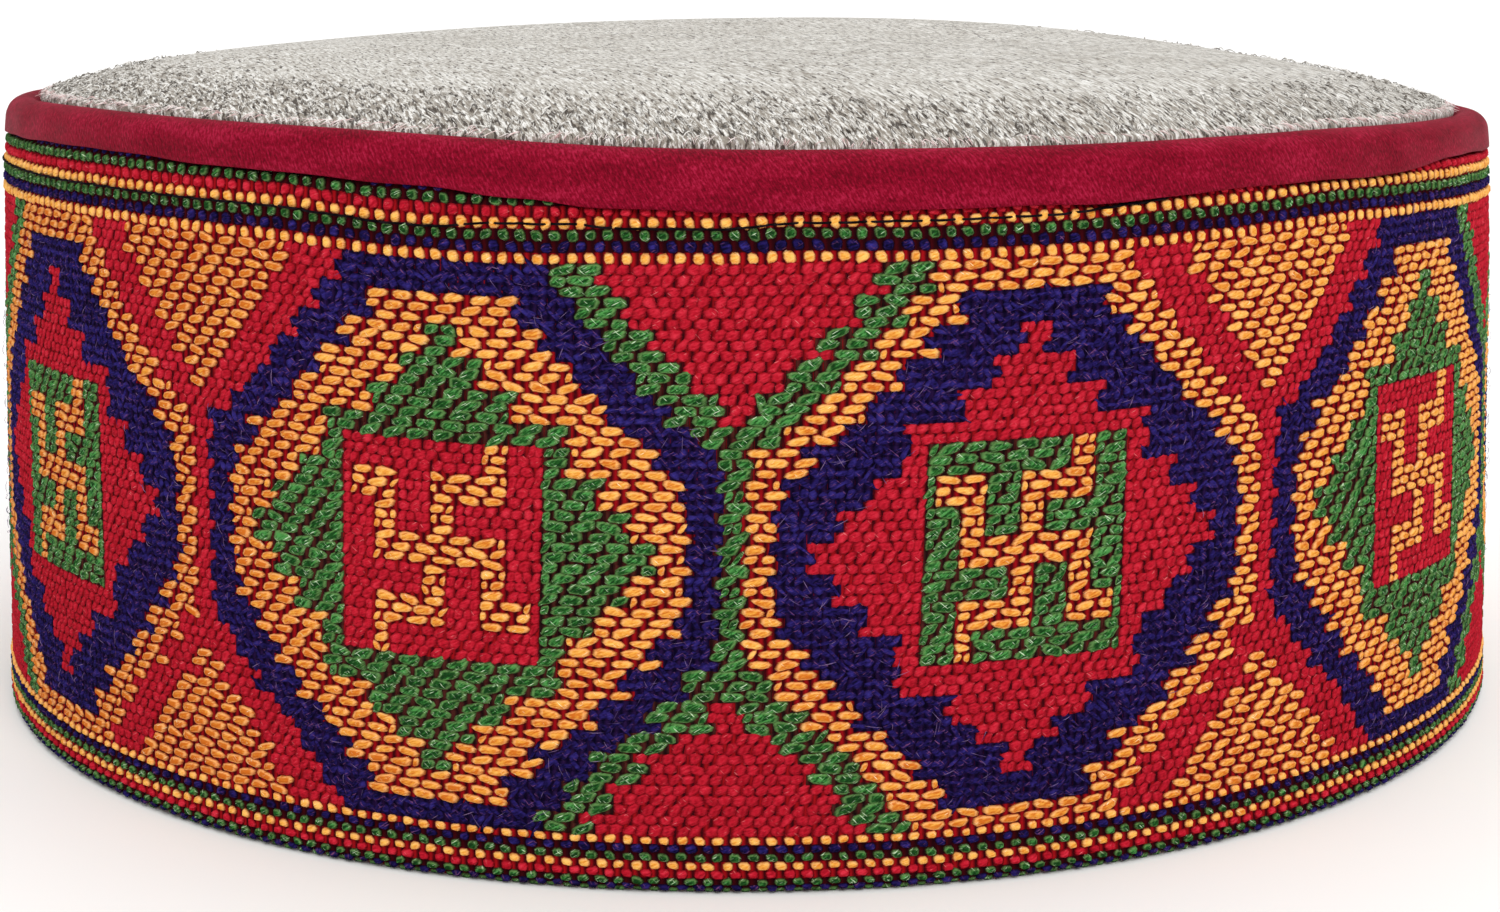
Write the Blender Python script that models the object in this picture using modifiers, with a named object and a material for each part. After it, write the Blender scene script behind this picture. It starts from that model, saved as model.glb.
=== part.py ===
"""A drum-shaped wool cap with a woven pattern band, resting on its rim.

The cap is four pieces of cloth that nest inside each other. Every one is a
turned profile, which is then pulled oval, turned a little on the table and
lowered by the rim's waves, so that the walls stay parallel all the way round.

Insets are measured inwards from the outside of the band, heights up from the
table. The wearer's front faces -Y.
"""
import math

import bmesh
import bpy

MM = 0.001
SIDES = 64
MERGE_DISTANCE = 0.00001

# Plan of the cap, at half its height
HALF_WIDTH = 91.3 * MM
HALF_DEPTH = 96.6 * MM
PLAN_TURN = math.radians(-8.0)
TURNED_RADIUS = 94.0 * MM

# Rim: high at the front, lowest behind each side. Its drop below HEIGHT is a
# sum of waves round the cap, which fade out towards the middle of the crown
HEIGHT = 74.8 * MM
RIM_WAVES = (
    # times round, drop with the cosine, drop with the sine
    (0, 3.60 * MM, 0.0),
    (1, -2.95 * MM, 0.30 * MM),
    (2, -1.30 * MM, 0.25 * MM),
    (3, 0.85 * MM, 0.0),
    (4, 0.05 * MM, 0.35 * MM),
)

# Wall: it narrows evenly upwards, and leans in more under the binding
TAPER = 0.030 / (100 * MM)
LEAN_FROM = 58.5 * MM
LEAN = 0.9 * MM

# Cloths, and the gap between two that touch
GAP = 0.3 * MM
BAND_CLOTH = 1.5 * MM
WALL_CLOTH = 1.5 * MM
TAPE_CLOTH = 0.6 * MM
CROWN_CLOTH = 1.8 * MM

# Hem: the band is folded under the wall and turned up inside
HEM_CLOTH = 1.1 * MM
HEM_CORNER = 1.3 * MM
HEM_TURN_UP = 7.5 * MM
HEM_FLOOR = 1.6 * MM

# Cuff: band and wall are pressed thinner where the binding grips them
CUFF_BAND_CLOTH = 1.1 * MM
CUFF_WALL_CLOTH = 1.0 * MM
CUFF_TOP = 72.6 * MM

# Binding: a folded tape round the top edge, standing slightly proud
TAPE_PROUD = 0.1 * MM
TAPE_FOOT = 69.0 * MM
TAPE_INNER_FOOT = 69.6 * MM
BAND_STEP_BELOW = 67.9 * MM
BAND_STEP_ABOVE = 68.5 * MM
STEP_RISE = 0.6 * MM

# Crown: a cushioned disc that bulges over the inside of the rim, with its
# edge turned down inside the cuff
CROWN_EDGE_RISE = 0.5 * MM
CROWN_RISE = 5.3 * MM
CROWN_POWER = 6.0
CROWN_LIP = 0.6 * MM
CROWN_TURN_DOWN = 66.4 * MM
CROWN_HEM_CLOTH = 1.4 * MM
CROWN_RINGS = (0.0, 0.3, 0.52, 0.68, 0.79, 0.87, 0.93, 0.97)

# Insets of the layers in the cuff, from the outside to the crown
CUFF_BAND = TAPE_CLOTH + GAP - TAPE_PROUD
CUFF_WALL = CUFF_BAND + CUFF_BAND_CLOTH + GAP
CUFF_TAPE_INSIDE = CUFF_WALL + CUFF_WALL_CLOTH + GAP
CUFF_INSIDE = CUFF_TAPE_INSIDE + TAPE_CLOTH
CROWN_INSET = CUFF_INSIDE + GAP
ROLL_RADIUS = (CUFF_INSIDE + TAPE_PROUD) / 2
ROLL_INSET = CUFF_INSIDE - ROLL_RADIUS
ROLL_HEIGHT = HEIGHT - ROLL_RADIUS


def outer_radius(height):
    """Radius of the band's outside at a height, before it is pulled oval."""
    radius = TURNED_RADIUS * (1 - TAPER * (height - HEIGHT / 2))
    if height > LEAN_FROM:
        radius -= LEAN * ((height - LEAN_FROM) / (HEIGHT - LEAN_FROM)) ** 2
    return radius


def drop(turned):
    """How far the waves of the rim lower a point that starts at the rim's height."""
    angle = math.atan2(turned.x, -turned.y)
    share = min(math.hypot(turned.x, turned.y) / TURNED_RADIUS, 1.0)
    return sum(
        share ** order * (cosine * math.cos(order * angle) + sine * math.sin(order * angle))
        for order, cosine, sine in RIM_WAVES
    )


def seat(turned):
    """Move a point of a turned shape to its place on the oval, sloping cap."""
    turned.z *= 1 - drop(turned) / HEIGHT
    x = turned.x * HALF_WIDTH / TURNED_RADIUS
    y = turned.y * HALF_DEPTH / TURNED_RADIUS
    cosine, sine = math.cos(PLAN_TURN), math.sin(PLAN_TURN)
    turned.x = x * cosine - y * sine
    turned.y = x * sine + y * cosine


def arc(inset, height, radius, start, end, steps):
    """Points of an arc in the profile, angles in degrees from outwards to up."""
    points = []
    for step in range(steps + 1):
        angle = math.radians(start + (end - start) * step / steps)
        points.append((inset - radius * math.cos(angle), height + radius * math.sin(angle)))
    return points


def on_wall(points):
    """Turn (inset, height) pairs into (radius, height) pairs."""
    return [(outer_radius(height) - inset, height) for inset, height in points]


def cloth_material(name, colour, roughness):
    """A plain cloth material for one piece."""
    material = bpy.data.materials.new(name)
    material.use_nodes = True
    shader = material.node_tree.nodes["Principled BSDF"]
    shader.inputs["Base Color"].default_value = (*colour, 1.0)
    shader.inputs["Roughness"].default_value = roughness
    shader.inputs["Metallic"].default_value = 0.0
    return material


def turned_piece(name, profile, closed, material, collection):
    """Turn a profile of (radius, height) pairs, and seat it on the cap."""
    count = len(profile)
    edges = [(index, index + 1) for index in range(count - 1)]
    if closed:
        edges.append((count - 1, 0))
    outline = bpy.data.meshes.new(name + "_profile")
    outline.from_pydata([(radius, 0.0, height) for radius, height in profile], edges, [])
    guide = bpy.data.objects.new(name + "_profile", outline)
    bpy.context.scene.collection.objects.link(guide)
    screw = guide.modifiers.new("turn", "SCREW")
    screw.steps = SIDES
    screw.render_steps = SIDES
    screw.use_merge_vertices = True
    screw.merge_threshold = MERGE_DISTANCE
    bpy.context.view_layer.update()
    evaluated = guide.evaluated_get(bpy.context.evaluated_depsgraph_get())
    mesh = bpy.data.meshes.new_from_object(evaluated)
    bpy.data.objects.remove(guide)

    shape = bmesh.new()
    shape.from_mesh(mesh)
    bmesh.ops.remove_doubles(shape, verts=shape.verts, dist=MERGE_DISTANCE)
    for vertex in shape.verts:
        seat(vertex.co)
    bmesh.ops.recalc_face_normals(shape, faces=shape.faces)
    shape.to_mesh(mesh)
    shape.free()

    mesh.name = name
    mesh.materials.clear()
    mesh.materials.append(material)
    mesh.shade_smooth()
    mesh.set_sharp_from_angle(angle=math.radians(50))
    piece = bpy.data.objects.new(name, mesh)
    collection.objects.link(piece)
    return piece


def patterned_band(collection):
    """The woven strip: up the outside, folded under, and turned up inside."""
    hem_inside = BAND_CLOTH + GAP + WALL_CLOTH + GAP
    hem_inner_face = hem_inside + HEM_CLOTH
    points = [
        (CUFF_BAND, CUFF_TOP),
        (CUFF_BAND, BAND_STEP_ABOVE),
        (0.0, BAND_STEP_BELOW),
        (0.0, LEAN_FROM),
        (0.0, HEIGHT / 2),
    ]
    points += arc(HEM_CORNER, HEM_CORNER, HEM_CORNER, 0, -90, 2)
    points += arc(hem_inner_face - HEM_CORNER, HEM_CORNER, HEM_CORNER, -90, -180, 2)
    points += [
        (hem_inner_face, HEM_TURN_UP),
        (hem_inside, HEM_TURN_UP),
        (hem_inside, HEM_FLOOR),
        (BAND_CLOTH, HEM_FLOOR),
        (BAND_CLOTH, HEIGHT / 2),
        (BAND_CLOTH, BAND_STEP_BELOW - STEP_RISE),
        (CUFF_BAND + CUFF_BAND_CLOTH, BAND_STEP_ABOVE + STEP_RISE),
        (CUFF_BAND + CUFF_BAND_CLOTH, CUFF_TOP),
    ]
    material = cloth_material("woven_band", (0.45, 0.09, 0.07), 0.9)
    return turned_piece("patterned_band", on_wall(points), True, material, collection)


def inner_wall(collection):
    """The grey wool side of the cap, behind the band, open at the bottom."""
    outside = BAND_CLOTH + GAP
    inside = outside + WALL_CLOTH
    foot = HEM_FLOOR + GAP
    points = [
        (CUFF_WALL, CUFF_TOP),
        (CUFF_WALL, BAND_STEP_ABOVE + STEP_RISE),
        (outside, BAND_STEP_BELOW - STEP_RISE),
        (outside, HEIGHT / 2),
        (outside, foot),
        (inside, foot),
        (inside, HEIGHT / 2),
        (inside, BAND_STEP_BELOW - STEP_RISE),
        (CUFF_WALL + CUFF_WALL_CLOTH, BAND_STEP_ABOVE + STEP_RISE),
        (CUFF_WALL + CUFF_WALL_CLOTH, CUFF_TOP),
    ]
    material = cloth_material("wool_wall", (0.50, 0.49, 0.46), 0.95)
    return turned_piece("inner_wall", on_wall(points), True, material, collection)


def top_binding(collection):
    """The maroon tape, folded over the top edges of the band and the wall."""
    lining_radius = ROLL_RADIUS - TAPE_CLOTH
    points = arc(ROLL_INSET, ROLL_HEIGHT, ROLL_RADIUS, 180, 0, 8)
    points += [(-TAPE_PROUD, TAPE_FOOT), (TAPE_CLOTH - TAPE_PROUD, TAPE_FOOT)]
    points += arc(ROLL_INSET, ROLL_HEIGHT, lining_radius, 0, 180, 6)
    points += [(CUFF_TAPE_INSIDE, TAPE_INNER_FOOT), (CUFF_INSIDE, TAPE_INNER_FOOT)]
    material = cloth_material("binding_tape", (0.27, 0.01, 0.03), 0.6)
    return turned_piece("top_binding", on_wall(points), True, material, collection)


def crown_top(collection):
    """The cushioned grey disc, with its edge turned down inside the cuff."""
    edge_height = HEIGHT + CROWN_EDGE_RISE
    edge = outer_radius(edge_height) - CROWN_INSET
    inner_edge = edge - CROWN_HEM_CLOTH

    def dome(share):
        return edge_height + CROWN_RISE * (1 - share ** CROWN_POWER)

    profile = [(edge * share, dome(share)) for share in CROWN_RINGS]
    profile += on_wall([
        (CROWN_INSET - CROWN_LIP * 0.8, HEIGHT + CROWN_EDGE_RISE / 2),
        (CROWN_INSET - CROWN_LIP, HEIGHT - CROWN_LIP / 2),
        (CROWN_INSET, HEIGHT - CROWN_LIP * 2),
        (CROWN_INSET, CROWN_TURN_DOWN),
        (CROWN_INSET + CROWN_HEM_CLOTH, CROWN_TURN_DOWN),
    ])
    profile += [(inner_edge, edge_height - CROWN_CLOTH)]
    profile += [(inner_edge * share, dome(share) - CROWN_CLOTH) for share in reversed(CROWN_RINGS)]
    material = cloth_material("wool_crown", (0.58, 0.57, 0.54), 0.95)
    return turned_piece("crown_top", profile, False, material, collection)


def main():
    """Clear the scene and make the cap's four pieces."""
    for item in list(bpy.data.objects):
        bpy.data.objects.remove(item)
    collection = bpy.data.collections.new("woven_band_cap")
    bpy.context.scene.collection.children.link(collection)
    patterned_band(collection)
    inner_wall(collection)
    top_binding(collection)
    crown_top(collection)


main()
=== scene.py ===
"""Looks of a drum-shaped wool cap with a woven pattern band.

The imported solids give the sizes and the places. This script dresses them: every
yarn that floats on the band over its dark red ground, a folded tape round the
top edge, a cushioned tweed crown and a plain wool lining.

Arcs are lengths along the outside of the oval at half height, from the middle
of the front to the right. Paths are lengths down the outside of the band from
the rim's level, which run on under the hem and up inside. Insets are measured
inwards from the outside of the band. All sizes are in metres.
"""

import logging
import math
from dataclasses import dataclass
from enum import Enum

import bpy
import numpy as np
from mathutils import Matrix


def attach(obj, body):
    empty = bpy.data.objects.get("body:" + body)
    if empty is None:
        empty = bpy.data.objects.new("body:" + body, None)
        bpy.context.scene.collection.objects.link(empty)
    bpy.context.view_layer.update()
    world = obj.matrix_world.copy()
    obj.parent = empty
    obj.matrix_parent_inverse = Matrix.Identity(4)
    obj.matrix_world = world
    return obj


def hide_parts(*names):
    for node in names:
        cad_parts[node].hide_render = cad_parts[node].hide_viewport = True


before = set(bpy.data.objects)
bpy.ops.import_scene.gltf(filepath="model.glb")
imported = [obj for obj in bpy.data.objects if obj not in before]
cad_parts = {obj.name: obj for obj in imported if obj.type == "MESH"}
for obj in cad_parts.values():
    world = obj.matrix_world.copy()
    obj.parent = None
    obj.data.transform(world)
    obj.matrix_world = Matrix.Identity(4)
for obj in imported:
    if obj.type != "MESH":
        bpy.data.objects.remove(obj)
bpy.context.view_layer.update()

MM = 0.001
Rgb = tuple[float, float, float]
Table = tuple[tuple[float, ...], ...]
Array = np.ndarray
Runs = tuple[Array, Array, Array, Array]
log = logging.getLogger("cap")


def smooth_step(value: Array) -> Array:
    """Ease from 0 to 1: three squares less two cubes of the clipped value."""
    clipped = np.clip(value, 0.0, 1.0)
    return clipped * clipped * (3 - 2 * clipped)


def waves(angle: Array, seed: int, orders: tuple[int, ...]) -> Array:
    """A smooth random line round the cap, about -1 to 1: a sum of sines.

    Args:
        angle: angles round the cap, in radians.
        seed: picks each sine's phase.
        orders: how many times each sine repeats round the cap.

    Returns:
        The line's value at each angle.
    """
    phases = np.random.default_rng(seed).uniform(0, 2 * np.pi, len(orders))
    total = sum(np.sin(order * angle + phase) for order, phase in zip(orders, phases))
    return total / math.sqrt(len(orders))


def round_table(angle: Array, table: Table, column: int = 1) -> Array:
    """Read a short table round the cap, eased between its rows by smooth_step.

    Args:
        angle: angles round the cap, in radians.
        table: rows of degrees, from -180 to 180, and of values.
        column: which of the values is read.

    Returns:
        The value at each angle.
    """
    rows = np.array(table)
    values = rows[:, column]
    turned = (np.degrees(angle) + 180) % 360 - 180
    place = np.interp(turned, rows[:, 0], np.arange(len(rows)))
    low = np.minimum(place.astype(int), len(rows) - 2)
    share = smooth_step(place - low)
    return values[low] * (1 - share) + values[low + 1] * share


def round_angles(count: int) -> Array:
    """Even angles round the cap, from the back to the back."""
    return np.linspace(-np.pi, np.pi, count, endpoint=False)


def columns_of(pairs: list[tuple[float, float]]) -> tuple[Array, Array]:
    """Split pairs of inset and height into two upright columns."""
    table = np.array(pairs)
    return table[:, :1], table[:, 1:]


def cloth_uv(across: Array, along: Array) -> Array:
    """Pattern coordinates in millimetres, from lengths across and along a cloth."""
    return np.stack(np.broadcast_arrays(across, along), axis=-1) / MM


def grid_faces(rows: int, columns: int, close_rows: bool, close_columns: bool) -> Array:
    """Quads of a grid of points whose row index varies slowest.

    Args:
        rows: number of rows of points.
        columns: number of columns of points.
        close_rows: join the last row to the first.
        close_columns: join the last column to the first.

    Returns:
        The quads, which face outwards where columns run right and rows run down.
    """
    row = np.arange(rows if close_rows else rows - 1)
    column = np.arange(columns if close_columns else columns - 1)
    r, c = np.meshgrid(row, column, indexing="ij")
    down, right = (r + 1) % rows, (c + 1) % columns
    quads = [r * columns + c, down * columns + c, down * columns + right, r * columns + right]
    return np.stack([quad.ravel() for quad in quads], axis=1)


def repeated(faces: Array, count: int, size: int) -> Array:
    """The faces of one shape of so many points, for each of its copies."""
    starts = np.arange(count)[:, None, None] * size
    return (faces[None] + starts).reshape(-1, faces.shape[-1])


def new_object(name: str, data: bpy.types.ID) -> bpy.types.Object:
    """Put a new object in the scene.

    Args:
        name: its name.
        data: its mesh, light or camera.

    Returns:
        The object.
    """
    item = bpy.data.objects.new(name, data)
    bpy.context.scene.collection.objects.link(item)
    return item


@dataclass(frozen=True)
class CapForm:
    """The cap's driving sizes, and where its walls run.

    A turned shape is pulled oval, turned a little in plan and lowered by the
    rim's waves, as the solids are.
    """

    half_width: float = 91.3 * MM
    half_depth: float = 96.6 * MM
    plan_turn: float = math.radians(-8.0)
    turned_radius: float = 94.0 * MM
    height: float = 74.8 * MM
    # Times round, and millimetres of drop that go with the cosine and the sine
    rim_waves: Table = (
        (0, 3.60, 0.0), (1, -2.95, 0.30), (2, -1.30, 0.25), (3, 0.85, 0.0), (4, 0.05, 0.35),
    )
    taper: float = 0.030 / (100 * MM)
    lean_from: float = 58.5 * MM
    lean: float = 0.9 * MM

    def outer_radius(self, height: Array) -> Array:
        """Radius of the band's outside before it is pulled oval.

        It falls evenly with height, and by a square above the lean's start.

        Args:
            height: heights before the rim's waves.

        Returns:
            The radius at each height.
        """
        radius = self.turned_radius * (1 - self.taper * (height - self.height / 2))
        share = np.clip((height - self.lean_from) / (self.height - self.lean_from), 0, 1.2)
        return radius - self.lean * share**2

    def place(self, angle: Array, radius: Array, height: Array) -> Array:
        """Points of the cap from an angle, a turned radius and a height.

        Each is lowered by the rim's waves in proportion to its height, then
        scaled to the oval and turned in plan.

        Args:
            angle: radians, 0 at the middle of the front, growing to the right.
            radius: distance from the axis before the oval.
            height: height above the surface, before the rim's waves.

        Returns:
            An array of points with a last axis of three.
        """
        x = radius * np.sin(angle) * self.half_width / self.turned_radius
        y = -radius * np.cos(angle) * self.half_depth / self.turned_radius
        cosine, sine = math.cos(self.plan_turn), math.sin(self.plan_turn)
        fall = self.drop(angle, np.minimum(radius / self.turned_radius, 1.0))
        level = height * (1 - fall / self.height)
        return np.stack([x * cosine - y * sine, x * sine + y * cosine, level], axis=-1)

    def wall(self, angle: Array, inset: Array, height: Array) -> Array:
        """Points of the cap from an angle, an inset and a height."""
        return self.place(angle, self.outer_radius(height) - inset, height)

    def drop(self, angle: Array, share: Array) -> Array:
        """How far the rim's waves lower a point that starts at the rim's height.

        It is a sum of waves round the cap, each times the share of the radius
        to the power of its order, so that they fade out towards the middle.

        Args:
            angle: angles round the cap.
            share: distance from the axis as a share of the turned radius.

        Returns:
            The drop at each point.
        """
        return MM * sum(
            share**order * (cosine * np.cos(order * angle) + sine * np.sin(order * angle))
            for order, cosine, sine in self.rim_waves
        )

    def arc_table(self) -> tuple[Array, Array]:
        """Measure the arcs round the oval.

        Returns:
            Angles round it, and the arc from the front to each of them.
        """
        angle = np.linspace(-np.pi, np.pi, 7201)
        across = np.diff(self.half_width * np.sin(angle))
        along = np.diff(self.half_depth * np.cos(angle))
        arc = np.concatenate([[0.0], np.cumsum(np.hypot(across, along))])
        return angle, arc - np.interp(0.0, angle, arc)

    def girth(self) -> float:
        """Length round the outside at half height."""
        arc = self.arc_table()[1]
        return float(arc[-1] - arc[0])

    def arc_at(self, angle: Array) -> Array:
        """The arc at an angle."""
        return np.interp(angle, *self.arc_table())

    def angle_at(self, arc: Array) -> Array:
        """Find angles from arcs.

        Args:
            arc: arcs from the front, which may run past the back.

        Returns:
            The angle at each arc.
        """
        angles, arcs = self.arc_table()
        girth = arcs[-1] - arcs[0]
        turns = np.floor((arc - arcs[0]) / girth)
        return np.interp(arc - turns * girth, arcs, angles) + turns * 2 * np.pi


@dataclass(frozen=True)
class Cuff:
    """How the cloths lie on each other in the wall and in the rim."""

    gap: float = 0.3 * MM
    band_cloth: float = 1.5 * MM
    wall_cloth: float = 1.5 * MM
    cuff_band_cloth: float = 1.1 * MM
    cuff_wall_cloth: float = 1.0 * MM
    tape_cloth: float = 0.6 * MM
    tape_proud: float = 0.1 * MM
    hem_cloth: float = 1.1 * MM
    hem_corner: float = 1.3 * MM
    hem_turn_up: float = 7.5 * MM
    hem_floor: float = 1.6 * MM
    step_foot: float = 67.3 * MM
    step_head: float = 69.1 * MM
    cuff_top: float = 72.6 * MM

    @property
    def band_inset(self) -> float:
        """Inset of the band under the tape."""
        return self.tape_cloth + self.gap - self.tape_proud

    @property
    def wall_inset(self) -> float:
        """Inset of the wool wall in the rim."""
        return self.band_inset + self.cuff_band_cloth + self.gap

    @property
    def tape_inside_inset(self) -> float:
        """Inset of the tape's inner leg."""
        return self.wall_inset + self.cuff_wall_cloth + self.gap

    @property
    def inside_inset(self) -> float:
        """Inset of the rim's inner side."""
        return self.tape_inside_inset + self.tape_cloth

    @property
    def hem_inset(self) -> float:
        """Inset of the outer side of the hem's turned-up leg."""
        return self.band_cloth + self.gap + self.wall_cloth + self.gap

    @property
    def hem_inside_inset(self) -> float:
        """Inset of the inner side of that leg."""
        return self.hem_inset + self.hem_cloth

    @property
    def crown_inset(self) -> float:
        """Inset of the crown's turned-down edge."""
        return self.inside_inset + self.gap

    @property
    def roll_radius(self) -> float:
        """Radius of the tape's fold over the rim."""
        return (self.inside_inset + self.tape_proud) / 2


class Yarn(Enum):
    """The dyed yarns of the band. The values index the materials."""

    RED = 0
    YELLOW = 1
    NAVY = 2
    GREEN = 3


class Signal:
    """A shader node's output, which adds and multiplies like a number."""

    def __init__(self, graph: "Graph", socket: bpy.types.NodeSocket) -> None:
        """Keep the socket and the graph that it is in."""
        self.graph = graph
        self.socket = socket

    def __add__(self, other: "Value") -> "Signal":
        """The sum."""
        return self.graph.math("ADD", self, other)

    def __sub__(self, other: "Value") -> "Signal":
        """The difference."""
        return self.graph.math("SUBTRACT", self, other)

    def __mul__(self, other: "Value") -> "Signal":
        """The product."""
        return self.graph.math("MULTIPLY", self, other)


Value = Signal | float | Rgb


class Graph:
    """A material's node tree, with short calls for the nodes that are used here."""

    def __init__(self, name: str) -> None:
        """Make a material with only a Principled shader and an output.

        Args:
            name: the material's name.
        """
        self.material = bpy.data.materials.new(name)
        self.material.use_nodes = True
        self.tree = self.material.node_tree
        self.tree.nodes.clear()
        self.shader = self.tree.nodes.new("ShaderNodeBsdfPrincipled")
        output = self.tree.nodes.new("ShaderNodeOutputMaterial")
        self.tree.links.new(self.shader.outputs["BSDF"], output.inputs["Surface"])

    def feed(self, target: bpy.types.NodeSocket, value: Value) -> None:
        """Set or link an input.

        Args:
            target: the input.
            value: a number, a colour, a vector or a signal.
        """
        if isinstance(value, Signal):
            self.tree.links.new(value.socket, target)
        else:
            target.default_value = (*value, 1.0) if target.type == "RGBA" else value

    def node(
        self, kind: str, output: str | int, inputs: dict[str | int, Value], **options: str
    ) -> Signal:
        """Add a node.

        Args:
            kind: the node's type, without its first word.
            output: the output that is wanted.
            inputs: what its inputs get.
            options: its named options.

        Returns:
            That output's signal.
        """
        node = self.tree.nodes.new(f"ShaderNode{kind}")
        for name, option in options.items():
            setattr(node, name, option)
        for key, value in inputs.items():
            self.feed(node.inputs[key], value)
        return Signal(self, node.outputs[output])

    def math(self, operation: str, first: Value, second: Value = 0.0) -> Signal:
        """A Math node's result."""
        return self.node("Math", 0, {0: first, 1: second}, operation=operation)

    def attribute(self, name: str) -> Signal:
        """The value of a piece's own attribute."""
        return self.node("Attribute", "Fac", {}, attribute_name=name)

    def coordinates(self, kind: str) -> Signal:
        """Object or UV coordinates."""
        return self.node("TexCoord", kind, {})

    def mapped(self, vector: Signal, scale: Rgb, turn: float = 0.0) -> Signal:
        """Coordinates seen from axes that are turned about Z, then scaled.

        Args:
            vector: the coordinates.
            scale: a factor for each turned axis.
            turn: angle of the first turned axis, in radians.

        Returns:
            The mapped coordinates.
        """
        inverse = tuple(1 / factor for factor in scale)
        inputs = {"Vector": vector, "Rotation": (0.0, 0.0, turn), "Scale": inverse}
        return self.node("Mapping", "Vector", inputs, vector_type="TEXTURE")

    def noise(self, vector: Signal, scale: float, detail: float = 3.0, rough: float = 0.5) -> Signal:
        """A Noise texture's value, about 0.5.

        Args:
            vector: the coordinates.
            scale: lumps in each unit of the coordinates.
            detail: number of finer layers.
            rough: weight of each layer against the one before.

        Returns:
            The noise.
        """
        inputs = {"Vector": vector, "Scale": scale, "Detail": detail, "Roughness": rough}
        return self.node("TexNoise", "Fac", inputs)

    def ramp(self, value: Value, low: float, high: float) -> Signal:
        """A value spread from 0 at low to 1 at high, and clipped."""
        return self.node("MapRange", "Result", {"Value": value, "From Min": low, "From Max": high})

    def mix(self, share: Value, first: Value, second: Value) -> Signal:
        """Two colours mixed, by the share of the second."""
        return self.node("Mix", 2, {0: share, 6: first, 7: second}, data_type="RGBA")

    def shades(self, tone: Signal, marks: Rgb, colours: tuple[Rgb, Rgb, Rgb]) -> Signal:
        """Run a tone through three colours.

        Args:
            tone: the tone.
            marks: the tones that give each colour in full.
            colours: the dark, the body and the light colour.

        Returns:
            The colour.
        """
        low, middle, high = marks
        colour = self.mix(self.ramp(tone, low, middle), colours[0], colours[1])
        return self.mix(self.ramp(tone, middle, high), colour, colours[2])

    def bump(self, height: Signal, strength: float, distance: float) -> Signal:
        """A Bump node's normal, from a relief of 0 to about 1 and its size."""
        inputs = {"Strength": strength, "Distance": distance, "Height": height}
        return self.node("Bump", "Normal", inputs)

    def finish(
        self, colour: Value, normal: Signal | None, roughness: float, shine: float = 0.08,
        sheen: float = 0.0, sheen_tint: Rgb = (1.0, 1.0, 1.0),
    ) -> bpy.types.Material:
        """Wire the shader.

        Args:
            colour: the body's colour.
            normal: the bumped normal, if any.
            roughness: roughness of the shine.
            shine: strength of the shine, where 0.5 is a plain plastic's.
            sheen: weight of the soft light that fine fibres give at a slant.
            sheen_tint: colour of that light.

        Returns:
            The material.
        """
        inputs = {
            "Base Color": colour, "Roughness": roughness, "Specular IOR Level": shine,
            "Sheen Weight": sheen, "Sheen Roughness": 0.45, "Sheen Tint": sheen_tint,
        }
        if normal is not None:
            inputs["Normal"] = normal
        for name, value in inputs.items():
            self.feed(self.shader.inputs[name], value)
        return self.material


@dataclass(frozen=True)
class YarnFinish:
    """A dyed woollen yarn over the UV map, which is in millimetres.

    Slanting fibres and soft lumps move each float's own tone between the dark,
    the body and the light colour. Its shoulder takes the rim colour, a painted
    highlight, where the fibres rise; the foot of its flank takes the edge colour,
    painted crevice shade tinted with the warp's dark red; and single hairs
    cross it where a stretched noise is at its highest.
    """

    name: str
    # Painted crevice shade at the foot of each float, tinted with the warp's dark red
    edge: Rgb
    dark: Rgb
    body: Rgb
    light: Rgb
    # Painted highlight on each float's shoulders
    rim: Rgb
    hair: Rgb
    painted_rim_light_share: float = 0.5
    foot_shade_start: float = 0.55
    slant: float = 0.35
    contrast: float = 2.0
    lumps: float = 1.2
    lump_scale: float = 1.4
    hair_start: float = 0.68
    relief: float = 0.20 * MM

    def make(self) -> bpy.types.Material:
        """Colour by tone, flank and hairs, and raise the fibres.

        Returns:
            The material.
        """
        graph = Graph(self.name)
        uv = graph.coordinates("UV")
        flank = graph.attribute("flank")
        fibres = graph.noise(graph.mapped(uv, (1.1, 4.5, 1.0), self.slant), 1.0, 3.0, 0.6)
        clumps = graph.noise(uv, self.lump_scale, 2.0)
        change = (fibres - 0.5) * self.contrast + (clumps - 0.5) * self.lumps
        tone = graph.attribute("tone") + change
        colour = graph.shades(tone, (0.05, 0.5, 0.95), (self.dark, self.body, self.light))
        # Painted highlight on the shoulders, then painted crevice shade at the foot of the flank
        painted_rim_light = graph.ramp(flank, 0.12, 0.36) * graph.ramp(fibres, 0.30, 0.50)
        colour = graph.mix(painted_rim_light * self.painted_rim_light_share, colour, self.rim)
        colour = graph.mix(graph.ramp(flank, self.foot_shade_start, 0.95), colour, self.edge)
        for angle in (-0.7, 0.5):
            strand = graph.noise(graph.mapped(uv, (0.8, 7.0, 1.0), angle), 1.0, 2.0)
            found = graph.ramp(strand, self.hair_start, self.hair_start + 0.07)
            colour = graph.mix(found, colour, self.hair)
        return graph.finish(colour, graph.bump(fibres + clumps * 0.6, 0.8, self.relief), 0.9, 0.04)


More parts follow.
